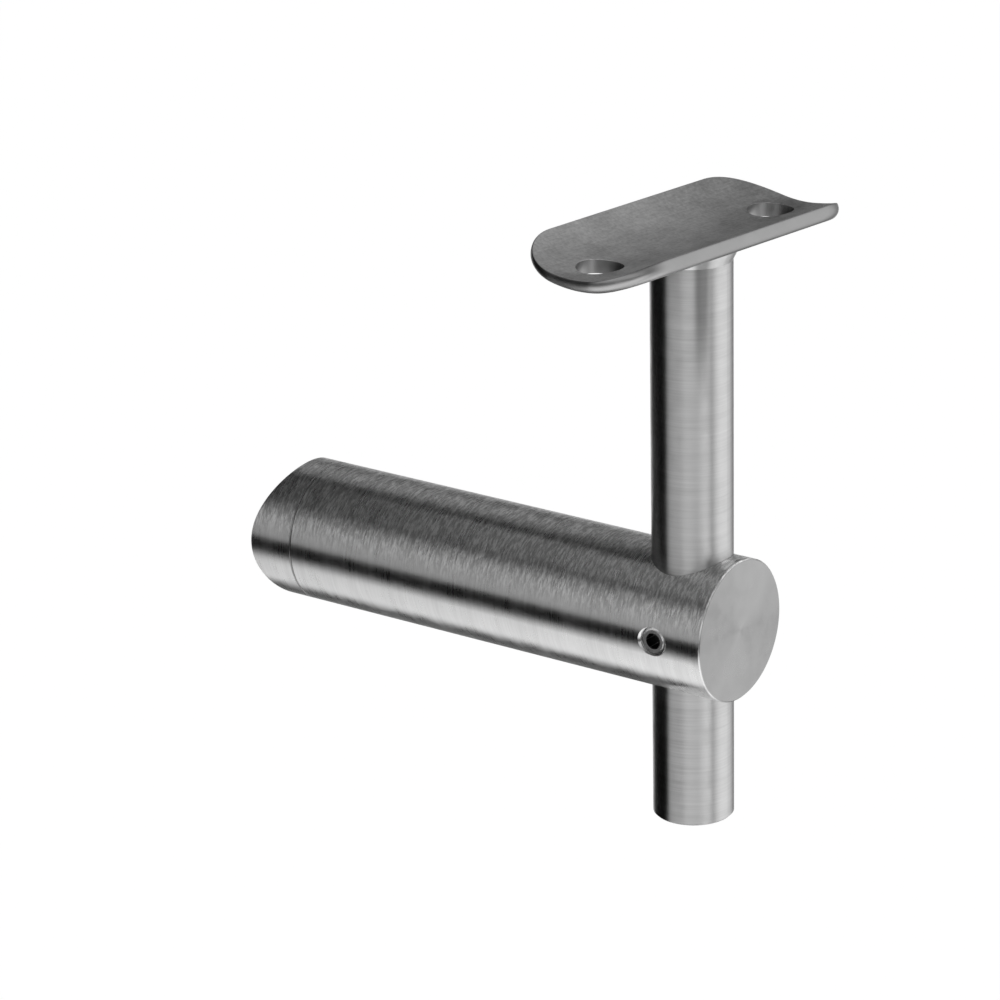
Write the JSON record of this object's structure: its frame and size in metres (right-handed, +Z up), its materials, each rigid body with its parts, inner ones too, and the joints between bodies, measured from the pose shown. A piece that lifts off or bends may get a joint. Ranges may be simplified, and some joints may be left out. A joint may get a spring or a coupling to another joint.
{
  "type": "handrail bracket",
  "caption": "Post-mounted handrail bracket: horizontal round arm, upright pin held by a set screw, and a curved saddle plate for a round rail.",
  "frame": {"origin": "where the arm's axis meets the bottom of the concave seat for the post", "axes": "+X along the arm away from the post, +Z up along the support pin towards the rail, +Y along the rail"},
  "size_m": [0.1032, 0.0588, 0.107],
  "materials": {
    "arm_steel": "satin stainless steel, ground round the bar",
    "adapter_steel": "satin stainless steel, ground round the disc",
    "pin_steel": "fine satin stainless steel",
    "saddle_steel": "matt stainless plate with bright edges",
    "weld_steel": "weld ground smooth",
    "screw_steel": "plain stainless set screw"
  },
  "bodies": {
    "arm": {"arm": "arm_steel", "post_adapter": "adapter_steel", "clamp_screw": "screw_steel"},
    "pin": {"support_pin": "pin_steel"},
    "saddle": {"saddle_weld": "weld_steel", "rail_saddle": "saddle_steel"}
  },
  "joints": [
    {"name": "pin_height", "type": "slide", "parent": "arm", "child": "pin", "axis": [0, 0, 1], "range_m": [-0.05, 0.023]},
    {"name": "saddle_swivel", "type": "hinge", "parent": "pin", "child": "saddle", "pos_m": [0.0826, 0, 0.0634], "axis": [0, 0, 1], "continuous": true}
  ]
}
